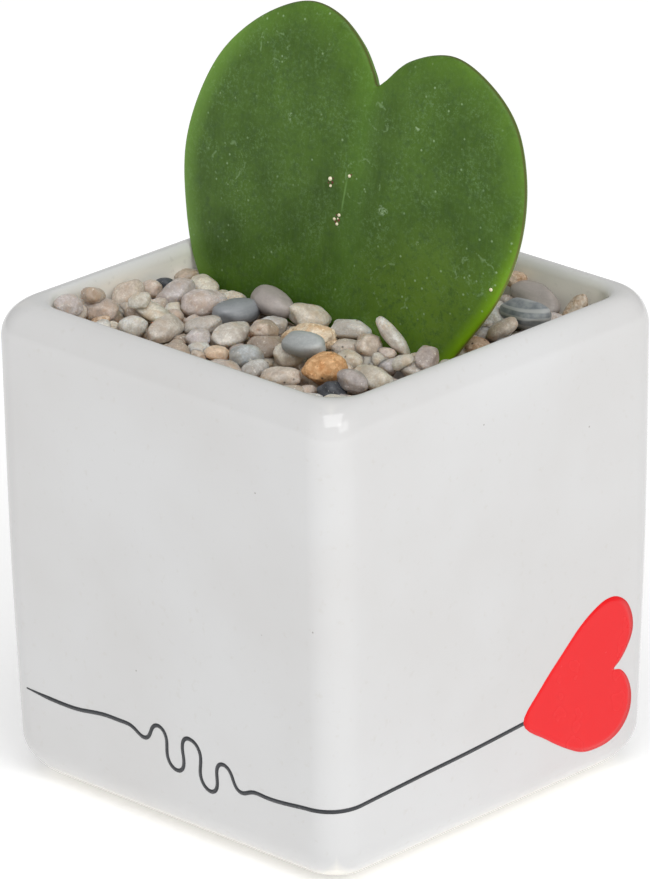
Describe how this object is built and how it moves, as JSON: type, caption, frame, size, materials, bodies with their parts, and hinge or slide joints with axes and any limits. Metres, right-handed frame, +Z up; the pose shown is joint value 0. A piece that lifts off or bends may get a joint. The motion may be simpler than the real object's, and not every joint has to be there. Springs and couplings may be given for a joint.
{
  "type": "potted hoya plant",
  "caption": "Heart-shaped hoya leaf standing upright in a small square glazed pot, rooted in soil under a top dressing of small pebbles.",
  "frame": {"origin": "on the surface that the pot stands on, under the middle of the pot", "axes": "+Z up; the pot's two decorated faces look along -Y and +X; the leaf's broad front looks along -Y"},
  "size_m": [0.076, 0.076, 0.1253],
  "materials": {
    "glazed_ceramic": "white glossy glaze over ceramic, with a thin grey line and a red heart",
    "potting_soil": "dark loose potting soil, matt",
    "pebble_stone": "rounded natural quartz pebbles, satin, beige, cream, mauve, slate and one orange",
    "leaf_green": "thick waxy succulent leaf, satin green with a lighter margin"
  },
  "bodies": {
    "root": {"pot": "glazed_ceramic", "soil": "potting_soil", "pebbles": "pebble_stone", "leaf": "leaf_green"}
  },
  "joints": []
}
